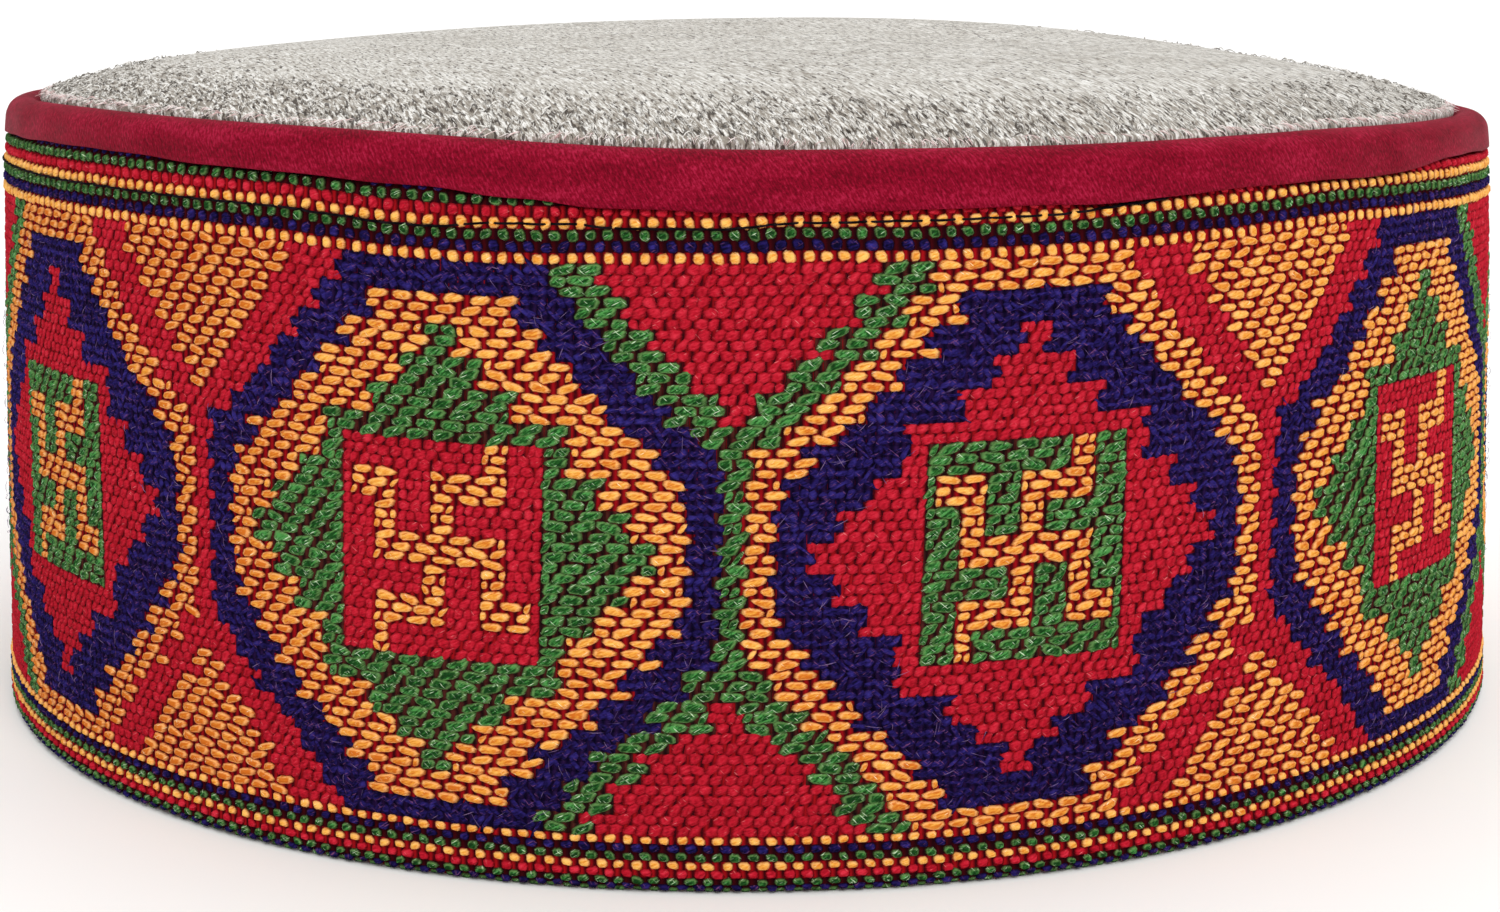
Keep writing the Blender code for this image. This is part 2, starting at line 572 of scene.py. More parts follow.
YARN_FINISHES: dict[Yarn, YarnFinish] = {
    Yarn.RED: YarnFinish(
        "red_wool", edge=(0.34, 0.006, 0.015), dark=(0.29, 0.004, 0.012), body=(0.46, 0.008, 0.022),
        light=(0.66, 0.03, 0.056), rim=(0.54, 0.018, 0.036), hair=(0.78, 0.18, 0.19),
    ),
    Yarn.YELLOW: YarnFinish(
        "yellow_wool", edge=(0.36, 0.016, 0.006), dark=(0.6, 0.145, 0.014), body=(0.8, 0.325, 0.044),
        light=(0.98, 0.54, 0.13), rim=(1.0, 0.51, 0.18), hair=(1.0, 0.8, 0.5), painted_rim_light_share=0.75,
        foot_shade_start=0.60, contrast=2.2, lumps=0.7, hair_start=0.67, relief=0.12 * MM,
    ),
    Yarn.NAVY: YarnFinish(
        "navy_wool", edge=(0.005, 0.002, 0.02), dark=(0.003, 0.002, 0.018), body=(0.013, 0.008, 0.085),
        light=(0.036, 0.026, 0.2), rim=(0.022, 0.012, 0.11), hair=(0.18, 0.06, 0.16),
        contrast=2.4, lumps=2.0, lump_scale=0.7, hair_start=0.63,
    ),
    Yarn.GREEN: YarnFinish(
        "green_wool", edge=(0.04, 0.016, 0.01), dark=(0.007, 0.038, 0.008), body=(0.015, 0.086, 0.015),
        light=(0.075, 0.29, 0.07), rim=(0.145, 0.29, 0.09), hair=(0.56, 0.74, 0.48), painted_rim_light_share=0.7,
        foot_shade_start=0.50, slant=0.60, contrast=3.4, hair_start=0.64,
    ),
}


@dataclass(frozen=True)
class GroundFinish:
    """The dark red warp that shows between the yarns of the band."""

    name: str = "red_warp"
    deep: Rgb = (0.014, 0.002, 0.004)
    thread: Rgb = (0.36, 0.006, 0.01)
    pitch: float = 0.8945 * MM

    def make(self) -> bpy.types.Material:
        """Upright ribs, one for each warp thread, darker where the tone is low.

        Returns:
            The material.
        """
        graph = Graph(self.name)
        uv = graph.coordinates("UV")
        across = graph.node("SeparateXYZ", 0, {0: uv})
        rib = graph.math("SINE", across * (2 * math.pi / (self.pitch / MM))) * 0.5 + 0.5
        height = rib + graph.noise(graph.mapped(uv, (4.0, 1.0, 1.0)), 2.0) * 0.6
        share = graph.ramp(height, 0.2, 1.4) * graph.attribute("tone")
        colour = graph.mix(share, self.deep, self.thread)
        return graph.finish(colour, graph.bump(height, 0.8, 0.2 * MM), 0.95, 0.02)


@dataclass(frozen=True)
class TweedFinish:
    """Napped grey wool, flecked like salt and pepper.

    Noise that is stretched along the nap makes its strokes, a finer one makes
    the fibres between them, and a third one the dark flecks. Towards the edge,
    where the flank attribute is 1, painted shade darkens the cloth, deepens its
    strokes and adds flecks.
    """

    name: str
    fleck: Rgb
    dark: Rgb
    body: Rgb
    light: Rgb
    coordinates: str = "Object"
    scale: float = 1000.0
    nap: float = 1.87
    fleck_start: float = 0.60

    def make(self) -> bpy.types.Material:
        """Colour by strokes, fibres and flecks, and raise the strokes.

        Returns:
            The material.
        """
        graph = Graph(self.name)
        base = graph.coordinates(self.coordinates)
        # The flank attribute carries the painted shade near the crown's edge
        edge = graph.attribute("flank")
        size, nap = self.scale, self.nap
        strokes = graph.noise(graph.mapped(base, (0.42 * size, 3.2 * size, size), nap), 1.0, 3.0, 0.6)
        fibres = graph.noise(graph.mapped(base, (size, 5.5 * size, size), nap + 0.2), 1.0, 3.0, 0.7)
        flecks = graph.noise(graph.mapped(base, (0.5 * size, 2.6 * size, size), nap - 0.1), 1.0, 2.0)
        clouds = graph.noise(graph.mapped(base, (size,) * 3), 0.10, 3.0)
        tone = ((strokes - 0.5) * 2.6 + (fibres - 0.5) * 1.7) * (edge * 1.3 + 1.0)
        tone = tone - edge * 0.26 + (clouds - 0.5) * 0.5
        colour = graph.shades(tone, (-0.55, 0.0, 0.45), (self.dark, self.body, self.light))
        found = graph.ramp(flecks + edge * 0.06, self.fleck_start, self.fleck_start + 0.06)
        colour = graph.mix(found * 0.85, colour, self.fleck)
        relief = graph.bump(strokes + fibres * 0.5, 0.9, 0.45 * MM)
        return graph.finish(colour, relief, 0.95, 0.02, 0.05)


@dataclass(frozen=True)
class TapeFinish:
    """A maroon tape in a fine steep twill, with a slight sheen on its ribs."""

    name: str = "maroon_tape"
    deep: Rgb = (0.12, 0.001, 0.008)
    body: Rgb = (0.23, 0.002, 0.017)
    light: Rgb = (0.38, 0.012, 0.048)

    def make(self) -> bpy.types.Material:
        """Slanted ribs over the piece's UV map, which is in millimetres.

        Returns:
            The material.
        """
        graph = Graph(self.name)
        uv = graph.coordinates("UV")
        ribs = graph.noise(graph.mapped(uv, (1.4, 4.6, 1.0), 2.1), 1.0, 2.0)
        clouds = graph.noise(graph.mapped(uv, (0.10, 0.35, 1.0)), 1.0, 2.0)
        height = ribs * 0.9 + graph.noise(uv, 2.8, 3.0, 0.7) * 0.7
        shade = height + clouds * 0.5
        colour = graph.shades(shade, (0.85, 1.08, 1.30), (self.deep, self.body, self.light))
        relief = graph.bump(height, 0.8, 0.14 * MM)
        return graph.finish(colour, relief, 0.6, 0.04, 0.02, (0.9, 0.35, 0.45))


@dataclass(frozen=True)
class ThreadFinish:
    """Plain sewing thread or a loose fibre, in one colour broken by a noise."""

    name: str
    body: Rgb
    light: Rgb

    def make(self) -> bpy.types.Material:
        """Colour by a fine noise on Object coordinates.

        Returns:
            The material.
        """
        graph = Graph(self.name)
        grain = graph.noise(graph.mapped(graph.coordinates("Object"), (1000.0,) * 3), 0.9)
        colour = graph.mix(graph.ramp(grain, 0.4, 0.6), self.body, self.light)
        return graph.finish(colour, None, 0.8, 0.05)


class Piece:
    """A mesh that is filled from whole arrays and made an object of the cap."""

    def __init__(self, name: str) -> None:
        """Start an empty piece.

        Args:
            name: a plain name.
        """
        self.name = name
        self.count = 0
        self.points: list[Array] = []
        self.uvs: list[Array] = []
        self.values: dict[str, list[Array]] = {"tone": [], "flank": []}
        self.faces: list[Array] = []
        self.face_materials: list[Array] = []

    def add(
        self, points: Array, faces: list[Array], uv: Array, tone: Array | float = 0.5,
        flank: Array | float = 0.0, material: int = 0,
    ) -> None:
        """Add points and faces.

        Args:
            points: an array of points, any shape with a last axis of three.
            faces: arrays of faces, each with one corner count, into the points.
            uv: pattern coordinates for each point, in millimetres.
            tone: a lightness for each point, or one for all.
            flank: how far down the yarn's side each point is, or on the crown the amount of its painted
                edge shade, or one for all.
            material: index of the faces' material.
        """
        shape = points.shape[:-1]
        self.points.append(points.reshape(-1, 3))
        self.uvs.append(uv.reshape(-1, 2))
        for name, value in (("tone", tone), ("flank", flank)):
            self.values[name].append(np.broadcast_to(value, shape).astype(np.float32).ravel())
        for block in faces:
            self.faces.append(block + self.count)
            self.face_materials.append(np.full(len(block), material, np.int32))
        self.count += math.prod(shape)

    def build(self, materials: list[bpy.types.Material], slot: str, *nodes: str) -> None:
        """Make the object and ride it on the cap.

        Args:
            materials: the piece's materials, in the order of their indices.
            slot: the record's material slot; not used.
            nodes: the solids that this piece replaces, if any.
        """
        mesh = bpy.data.meshes.new(self.name)
        points = np.concatenate(self.points).astype(np.float32)
        corners = np.concatenate([block.ravel() for block in self.faces]).astype(np.int32)
        sizes = np.concatenate([np.full(len(block), block.shape[1]) for block in self.faces])
        starts = np.concatenate([[0], np.cumsum(sizes)[:-1]]).astype(np.int32)
        mesh.vertices.add(len(points))
        mesh.vertices.foreach_set("co", points.ravel())
        mesh.loops.add(len(corners))
        mesh.loops.foreach_set("vertex_index", corners)
        mesh.polygons.add(len(starts))
        mesh.polygons.foreach_set("loop_start", starts)
        mesh.polygons.foreach_set("material_index", np.concatenate(self.face_materials))
        mesh.polygons.foreach_set("use_smooth", np.ones(len(starts), bool))
        mesh.update(calc_edges=True)
        layer = mesh.uv_layers.new(name="cloth")
        layer.data.foreach_set("uv", np.concatenate(self.uvs)[corners].astype(np.float32).ravel())
        for name, blocks in self.values.items():
            values = mesh.attributes.new(name, "FLOAT", "POINT")
            values.data.foreach_set("value", np.concatenate(blocks))
        mesh.validate()
        for material in materials:
            mesh.materials.append(material)
        item = new_object(self.name, mesh)
        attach(item, "root")
        if nodes:
            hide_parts(*nodes)
        log.info("%s: %d triangles", self.name, int((sizes - 2).sum()))


@dataclass(frozen=True)
class BandLayout:
    """Where the woven rows lie, in heights above the surface.

    The border rows are listed from the top. Rows below the hem's corner go on
    along the path, under the fold and up inside.
    """

    warps: int = 660
    half_repeat: int = 66
    first_strip_arc: float = 12.05 * MM
    field_top: float = 63.75 * MM
    field_pitch: float = 1.07 * MM
    top_row: float = 64.30 * MM
    top_pitch: float = 1.15 * MM
    bottom_row: float = 5.55 * MM
    bottom_pitch: float = 0.87 * MM
    # Degrees round the cap, and millimetres that the top row strays from the rim's line
    stray: Table = (
        (-180, 0.0), (-150, -0.3), (-120, -0.45), (-90, -0.18), (-60, -0.10), (-44, -0.24),
        (-32, -0.36), (-23, -0.31), (-19, -0.62), (-15, -0.98), (-10, -1.02), (-5, -0.82),
        (0, -0.39), (6, -0.10), (12, 0.28), (18, 0.23), (28, 0.41), (40, 0.88), (52, 1.33),
        (60, 1.15), (68, 1.01), (90, 0.78), (120, 0.02), (150, -0.10), (180, 0.0),
    )
    stray_height: float = 67.8 * MM
    # Degrees, millimetres that the figures lie to the right at mid height, and more at their top
    drift: Table = (
        (-180, 0.0, 0.0), (-100, -1.0, -1.0), (-60, -1.6, -1.2), (-40, -1.5, -0.85),
        (-20, -1.05, 0.10), (0, -0.55, 0.70), (20, 0.0, 0.90), (40, 0.50, 0.85), (60, 1.1, 0.40),
        (110, 0.6, 0.0), (180, 0.0, 0.0),
    )
    middle: float = 35.0 * MM
    above_field: tuple[Yarn, ...] = (
        Yarn.YELLOW, Yarn.NAVY, Yarn.GREEN, Yarn.YELLOW, Yarn.RED, Yarn.GREEN, Yarn.NAVY,
    )
    below_field: tuple[Yarn, ...] = (*above_field, Yarn.GREEN, Yarn.RED)

    def border_rows(self) -> tuple[list[tuple[Yarn, float, float]], ...]:
        """List the dotted rows.

        Returns:
            Yarn, height and pitch of each row above the field, and below it.
        """
        above = [(yarn, self.top_row + index * self.top_pitch, self.top_pitch)
                 for index, yarn in enumerate(self.above_field)]
        below = [(yarn, self.bottom_row - index * self.bottom_pitch, self.bottom_pitch)
                 for index, yarn in enumerate(self.below_field)]
        return above, below


@dataclass(frozen=True)
class DiamondChart:
    """The band's figures, charted.

    The field is 19 steps of two or three rows, and mirrored top to bottom. The
    tables give half widths in warps for steps 0 to 9, counted from the middle
    of a diamond, or of a triangle where two diamonds part.
    """

    rows_of_step: tuple[int, ...] = (3, 3, 3, 3, 3, 2, 3, 3, 3, 3, 3, 3, 3, 3, 3, 2, 3, 3, 2)
    outline: tuple[float, ...] = (12.2, 15.2, 18.4, 21.8, 25.0, 28.2, 31.4, 31.8, 31.8, 31.8)
    inner: tuple[float, ...] = (0.0, 8.6, 12.0, 15.3, 18.7, 22.0, 25.0, 27.8, 28.2, 28.2)
    core: tuple[float, ...] = (0.0, 0.0, 1.9, 4.9, 8.2, 14.4, 14.6, 18.4, 21.9, 24.6)
    red_triangle: tuple[float, ...] = (15.0, 12.1, 9.0, 5.4, 1.8, 0.0, 0.0, 0.0, 0.0, 0.0)
    yellow_triangle: tuple[float, ...] = (13.2, 10.7, 8.0, 5.0, 2.0, 0.0, 0.0, 0.0, 0.0, 0.0)
    square_half: float = 11.7
    square_steps: tuple[int, int] = (6, 12)
    # Warps from the square's left edge, for each step of the square
    fret: tuple[Table, ...] = (
        ((17, 20),),
        ((0.5, 6.5), (11, 20)),
        ((4, 6.5), (11, 13.4)),
        ((4, 20),),
        ((9.8, 12.6), (16.8, 19.4)),
        ((4, 12.6), (16.5, 23)),
        ((4, 6),),
    )

    def steps(self) -> Array:
        """The step of every row of the field."""
        return np.repeat(np.arange(len(self.rows_of_step)), self.rows_of_step)

    def half(self, table: tuple[float, ...], step: Array) -> Array:
        """A table's value at each step, mirrored about the middle step."""
        last = len(self.rows_of_step) - 1
        return np.array(table)[np.minimum(step, last - step)]

    def colours(self, warp: Array, centre: Array, step: Array, half_repeat: int) -> Array:
        """The yarn on each warp of each row.

        Args:
            warp: warp position of each cell.
            centre: that position moved towards the middle of the cell's float.
            step: the step of each cell's row.
            half_repeat: warps from one diamond's middle to the next.

        Returns:
            An array of Yarn values.
        """
        number = np.floor(centre / half_repeat).astype(int)
        green_cell = number % 2 == 1
        middle = (number + 0.5) * half_repeat
        offset = centre - middle
        reach = np.abs(offset)
        from_strip = half_repeat / 2 - reach
        red, yellow, navy, green = (yarn.value for yarn in Yarn)
        found = np.where(
            green_cell == (offset > 0),
            np.where(from_strip <= self.half(self.red_triangle, step), red, green),
            np.where(from_strip <= self.half(self.yellow_triangle, step), yellow, red),
        )
        rings = (self.outline, navy, yellow), (self.inner, yellow, navy), (self.core, green, red)
        for table, in_green, in_navy in rings:
            inside = reach <= self.half(table, step)
            found = np.where(inside, np.where(green_cell, in_green, in_navy), found)
        low, high = self.square_steps
        in_square = (step >= low) & (step <= high) & (np.abs(warp - middle) <= self.square_half)
        found = np.where(in_square, np.where(green_cell, red, green), found)
        from_left = warp - middle + self.square_half
        for index, spans in enumerate(self.fret):
            for start, end in spans:
                hit = in_square & (step == low + index) & (from_left >= start) & (from_left <= end)
                found = np.where(hit, yellow, found)
        return found


@dataclass(frozen=True)
class FloatShape:
    """How a yarn's floats fill their places in the weave.

    The slope is how much a float rises to the right, and the skew how much its
    ends lean to the right. Both stray from float to float.
    """

    fullness: float = 1.0
    end_gap: float = 0.0
    slope: float = 0.0
    skew: float = 0.35
    stray: float = 0.12
    rise: float = 0.46 * MM
    narrowing: float = 0.50
    loops: int = 1
    steps: int = 3
    rows: int = 3
    root: float = 0.06 * MM


FLOAT_SHAPES: dict[Yarn, FloatShape] = {
    Yarn.RED: FloatShape(
        fullness=1.26, end_gap=-0.42 * MM, slope=0.34, skew=0.1, rise=0.30 * MM, narrowing=0.25,
        loops=2, steps=2,
    ),
    Yarn.YELLOW: FloatShape(fullness=0.97, end_gap=0.10 * MM, narrowing=0.52),
    Yarn.NAVY: FloatShape(
        fullness=1.34, end_gap=-0.62 * MM, slope=0.15, skew=0.0, stray=0.42, rise=0.36 * MM,
        narrowing=0.10, loops=3, steps=2, rows=2,
    ),
    Yarn.GREEN: FloatShape(
        fullness=1.26, end_gap=-0.16 * MM, slope=0.08, stray=0.14, rise=0.42 * MM, narrowing=0.38,
    ),
}
DOT_SHAPE = FloatShape(skew=0.0, stray=0.07, rise=0.50 * MM)
DOT_TONES: dict[Yarn, float] = {Yarn.RED: 0.55, Yarn.YELLOW: 0.66, Yarn.NAVY: 0.34, Yarn.GREEN: 0.30}


@dataclass
class PatternBand:
    """The woven strip: a ground cloth, and every yarn that floats on it."""

    form: CapForm
    cuff: Cuff
    layout: BandLayout = BandLayout()
    chart: DiamondChart = DiamondChart()
    pile: float = 0.45 * MM
    columns: int = 330
    seed: int = 7
    # Degrees round the cap, and the height of the tape's lower edge in millimetres
    tape_edge: Table = (
        (-180, 69.3), (-130, 69.6), (-90, 70.4), (-47, 70.85), (-24, 70.3), (-12, 69.9),
        (-6, 69.4), (-1, 68.75), (6, 68.75), (13, 68.9), (20, 69.1), (31, 69.1), (43, 69.7),
        (58, 69.6), (70, 70.6), (100, 70.0), (140, 69.2), (180, 69.3),
    )

    def tape_foot(self, angle: Array) -> Array:
        """Height of the tape's lower edge, which wavers by a hair between stitches."""
        return (round_table(angle, self.tape_edge) + 0.07 * waves(angle, 3, (17, 29, 46))) * MM

    def path_of(self, angle: Array, height: Array) -> Array:
        """Path to a woven row, which strays more from the rim's line the higher it lies.

        Args:
            angle: angles round the cap.
            height: height of the row.

        Returns:
            The path at each angle.
        """
        stray = MM * round_table(angle, self.layout.stray)
        share = np.clip(height / self.layout.stray_height, 0, None)
        return self.form.height - height - stray * share

    def drift_at(self, angle: Array, height: Array) -> Array:
        """How far the figures lie to the right of their place in the warps.

        Args:
            angle: angles round the cap.
            height: heights of the rows.

        Returns:
            The shift at each place.
        """
        layout = self.layout
        level = MM * round_table(angle, layout.drift)
        lean = MM * round_table(angle, layout.drift, 2)
        return level + lean * (height - layout.middle) / (0.6 * layout.middle)

    def section(self, path: Array) -> Runs:
        """The band's outside along its path.

        Straight down to the hem's corner, a quarter circle, a flat bottom, a
        quarter circle, and straight up inside.

        Args:
            path: length down from the level of the rim.

        Returns:
            Inset and height of each point, and of the normal there.
        """
        corner = self.cuff.hem_corner
        quarter = corner * np.pi / 2
        flat = self.cuff.hem_inside_inset - 2 * corner
        marks = np.cumsum([self.form.height - corner, quarter, flat, quarter])
        first = np.clip((path - marks[0]) / corner, 0, np.pi / 2)
        second = np.clip((path - marks[2]) / corner, 0, np.pi / 2)
        along = np.clip(path - marks[1], 0, marks[2] - marks[1])
        rise = np.clip(path - marks[3], 0, None)
        fall = np.clip(marks[0] - path, 0, None)
        inset = corner * (1 - np.cos(first)) + along + corner * np.sin(second)
        height = fall + corner * (1 - np.sin(first)) + corner * (1 - np.cos(second)) + rise
        inward = -np.cos(first) + np.sin(second)
        upward = -np.sin(first) * np.cos(second)
        length = np.hypot(inward, upward)
        return inset, height, inward / length, upward / length

    def surface(self, arc: Array, path: Array, lift: Array) -> Array:
        """Points over the ground cloth.

        The ground lies a pile's depth inside the solid's outside, and sinks in
        further under the tape.

        Args:
            arc: position round the cap.
            path: position down the band.
            lift: height over the ground, along its normal.

        Returns:
            The points.
        """
        angle = self.form.angle_at(arc)
        inset, height, inward, upward = self.section(path)
        depth = self.pile - lift
        under_tape = smooth_step((height - self.tape_foot(angle) + 0.55 * MM) / (0.9 * MM))
        inset = inset - inward * depth + self.cuff.band_inset * under_tape
        return self.form.wall(angle, inset, height - upward * depth)

    def yarn_mesh(
        self, piece: Piece, arc: Array, height: Array, length: Array, width: Array, tone: Array,
        random: np.random.Generator, shape: FloatShape, material: int = 0,
    ) -> None:
        """Add raised yarns to a piece, all at once.

        A yarn is a pillow over the square -1 to 1 in p and q. Its height is a
        power of one less p to the fourth, times the root of one less q squared,
        and its plan narrows to its ends. The slope and the skew shear it. Its
        rim lies in the ground, and one face closes it below.

        Args:
            piece: the piece to add to.
            arc: middle of each yarn round the cap.
            height: height of the middle of each yarn's row.
            length: length of each yarn.
            width: width of each yarn.
            tone: lightness of each yarn.
            random: source of the small irregularities.
            shape: the floats' shape.
            material: index of the yarn's material.
        """
        count = len(arc)
        across, along = shape.rows + 1, shape.steps + 1
        p_line = np.sin(np.linspace(-np.pi / 2, np.pi / 2, along) * 0.86) / math.sin(np.pi * 0.43)
        q_line = np.linspace(1, -1, across)
        q_line = q_line * (0.75 + 0.25 * q_line**2) + q_line * (1 - q_line**2) * 0.55
        q, p = np.meshgrid(q_line, p_line, indexing="ij")
        dome = (1 - np.abs(p) ** 4) ** 0.55 * np.sqrt(1 - q**2)
        slope = random.normal(shape.slope, shape.stray, (count, 1, 1))
        skew = random.normal(shape.skew, 2 * shape.stray, (count, 1, 1))
        taper = np.clip(random.normal(0, 2.2 * shape.stray, (count, 1, 1)), -0.6, 0.6)
        swell = 1 + random.normal(0, 0.12, (count, 1, 1))
        side = q * width[:, None, None] / 2 * (1 - shape.narrowing * p**4) * (1 + taper * p)
        x = p * length[:, None, None] / 2 + skew * side
        lift = np.minimum(dome * shape.rise * swell - shape.root, self.pile)
        arcs = arc[:, None, None] + x
        start = self.path_of(self.form.angle_at(arc), height)[:, None, None]
        paths = start - (side + slope * x)
        size = across * along
        index = np.arange(size).reshape(across, along)
        rim = np.concatenate([index[0, :-1], index[:-1, -1], index[-1, :0:-1], index[:0:-1, 0]])
        faces = [
            repeated(grid_faces(across, along, False, False), count, size),
            repeated(rim[None], count, size),
        ]
        points = self.surface(arcs, paths, lift)
        piece.add(points, faces, cloth_uv(arcs, -paths), tone[:, None, None], 1 - dome, material)

    def field_runs(self) -> dict[Yarn, Runs]:
        """Find every float of the field.

        Each row's warps are grouped by threes, and the groups move one warp to
        the left with each row, as a twill does. Where a group changes colour
        inside, it makes a float for each run. The rows start at the back.

        Returns:
            For each yarn, the arc, the height, the number of warps and the row
            of its floats.
        """
        layout, chart = self.layout, self.chart
        steps = chart.steps()
        row, warp = np.indices((len(steps), layout.warps))
        warp = warp - layout.warps // 2
        group = (warp + row) // 3
        centre = group * 3 - row + 1.5
        place = 0.55 * centre + 0.45 * (warp + 0.5)
        colour = chart.colours(warp + 0.5, place, steps[row], layout.half_repeat)
        new_run = np.ones_like(colour, bool)
        new_run[:, 1:] = (colour[:, 1:] != colour[:, :-1]) | (group[:, 1:] != group[:, :-1])
        start = np.flatnonzero(new_run)
        length = np.diff(np.append(start, new_run.size))
        run_row = row.ravel()[start]
        middle = warp.ravel()[start] + length / 2
        arc = layout.first_strip_arc + middle * (self.form.girth() / layout.warps)
        height = layout.field_top - (run_row + 0.5) * layout.field_pitch
        arc = arc + self.drift_at(self.form.angle_at(arc), height)
        run_colour = colour.ravel()[start]
        found = {}
        for yarn in Yarn:
            mine = run_colour == yarn.value
            found[yarn] = (arc[mine], height[mine], length[mine], run_row[mine])
        return found

    def tone_at(self, yarn: Yarn, angle: Array, height: Array) -> Array:
        """How the yarn's tone drifts over the band.

        It sinks a little towards the hem, and the yellow is darkened left of the
        front by painted shade.

        Args:
            yarn: the yarn.
            angle: angles round the cap.
            height: heights of the rows.

        Returns:
            What to add to the tone.
        """
        darker_towards_hem = 0.20 * smooth_step(1 - height / (40 * MM))
        # Painted shade over the yellow left of the front
        painted_left_shade = 0.42 * smooth_step((-np.degrees(angle) - 12) / 20) if yarn is Yarn.YELLOW else 0.0
        return -darker_towards_hem - painted_left_shade

    def field_pieces(self, materials: dict[Yarn, bpy.types.Material]) -> None:
        """Make one piece of yarn floats for each colour.

        A yarn of more loops shows each float as that many lumps, which are a
        little closer to each other than to the next float.

        Args:
            materials: each yarn's material.
        """
        pitch = self.form.girth() / self.layout.warps
        for yarn, (middle, level, warps, row) in self.field_runs().items():
            random = np.random.default_rng(self.seed + yarn.value)
            shape = FLOAT_SHAPES[yarn]
            loops = np.minimum(warps, shape.loops)
            order = np.arange(loops.sum()) - np.repeat(np.cumsum(loops) - loops, loops)
            space = np.repeat(warps * pitch / (loops + 0.18 * (loops - 1)), loops)
            arc = np.repeat(middle, loops) + (order - (np.repeat(loops, loops) - 1) / 2) * space
            height = np.repeat(level, loops)
            length = np.repeat(warps * pitch / loops - shape.end_gap, loops)
            width = self.layout.field_pitch * shape.fullness
            count = len(arc)
            by_row = random.normal(0, 0.05, 200)[np.repeat(row, loops)]
            by_place = self.tone_at(yarn, self.form.angle_at(arc), height)
            piece = Piece(f"{yarn.name.lower()}_wefts")
            self.yarn_mesh(
                piece,
                arc + random.normal(0, 0.06 * MM, count),
                height + random.normal(0, 0.04 * MM, count),
                length * (1 + random.normal(0, 0.05, count)),
                width * (1 + random.normal(0, 0.07, count)),
                0.5 + by_row + by_place + random.normal(0, 0.12, count),
                random, shape,
            )
            piece.build([materials[yarn]], "woven_band")

    def gap_shade_piece(self, yarn: Yarn, material: bpy.types.Material) -> None:
        """Make dark slabs under a yarn's floats, which cover the red warp: painted shade in the gaps,
        tinted with the yarn's colour.

        Each is a thin slab from just under the ground to just over it.

        Args:
            yarn: the yarn.
            material: the slabs' material.
        """
        pitch = self.form.girth() / self.layout.warps
        arc, height, warps, _ = (run[..., None, None, None] for run in self.field_runs()[yarn])
        lift, q, p = np.meshgrid([-0.08 * MM, 0.06 * MM], [-1.0, 1.0], [-1.0, 1.0], indexing="ij")
        arcs = arc + p * (warps * pitch / 2)
        paths = self.path_of(self.form.angle_at(arc), height) - q * self.layout.field_pitch * 0.53
        points = self.surface(arcs, paths, lift + 0 * arcs)
        sides = np.array([
            [4, 5, 7, 6], [0, 2, 3, 1], [0, 1, 5, 4], [2, 6, 7, 3], [0, 4, 6, 2], [1, 3, 7, 5],
        ])
        piece = Piece(f"{yarn.name.lower()}_gap_shade")
        piece.add(points, [repeated(sides, len(arc), 8)], cloth_uv(arcs, -paths), 1.0)
        piece.build([material], "woven_band")

    def border_piece(self, materials: dict[Yarn, bpy.types.Material]) -> None:
        """Make the rows of dots above and below the field, and round the hem.

        In plain weave a weft shows on every other warp, and each row is half a
        dot's pitch from the next.

        Args:
            materials: each yarn's material.
        """
        layout, form = self.layout, self.form
        pitch = 2 * form.girth() / layout.warps
        random = np.random.default_rng(self.seed + 11)
        piece = Piece("border_rows")
        above, below = layout.border_rows()
        for index, (yarn, level, row_pitch) in [*enumerate(above), *enumerate(below)]:
            arc = layout.first_strip_arc + (np.arange(layout.warps // 2) + index % 2 / 2) * pitch
            angle = form.angle_at(arc)
            shown = form.height - self.path_of(angle, level) < self.tape_foot(angle) + 0.3 * MM
            arc = arc[shown] + random.normal(0, 0.05 * MM, shown.sum())
            count = len(arc)
            length = pitch * 0.73 * (1 + random.normal(0, 0.08, count))
            width = row_pitch * 1.10 * (1 + random.normal(0, 0.07, count))
            tone = DOT_TONES[yarn] + random.normal(0, 0.12, count)
            height = level + random.normal(0, 0.04 * MM, count)
            self.yarn_mesh(piece, arc, height, length, width, tone, random, DOT_SHAPE, yarn.value)
        piece.build([materials[yarn] for yarn in Yarn], "woven_band")

    def ground_rows(self) -> tuple[Array, Array]:
        """Heights of the ground's points from the rim down, and their tones.

        Red warp shows bright between the dots of red and yellow rows, and lies
        in shade elsewhere. A pair of heights lies at each edge of a dotted row.

        Returns:
            The heights, which go below zero where the cloth turns in, and the
            tone of each.
        """
        layout, cuff = self.layout, self.cuff
        bright = (Yarn.YELLOW, Yarn.RED)
        above, below = layout.border_rows()
        top, bottom = (
            [(level + side * pitch, 1.0 if yarn in bright else 0.1)
             for yarn, level, pitch in rows for side in (0.46, -0.46)]
            for rows in (above[::-1], below)
        )
        field = np.linspace(layout.field_top - 0.1 * MM, layout.bottom_row + 0.6 * MM, 12)
        rows = [(cuff.cuff_top, 0.2), *top, *((level, 0.85) for level in field), *bottom]
        end = cuff.hem_corner * (5 - np.pi) - cuff.hem_inside_inset - cuff.hem_turn_up
        rows += [(level, 0.3) for level in np.linspace(rows[-1][0] - 0.3 * MM, end, 7)]
        return tuple(np.array(rows).T)

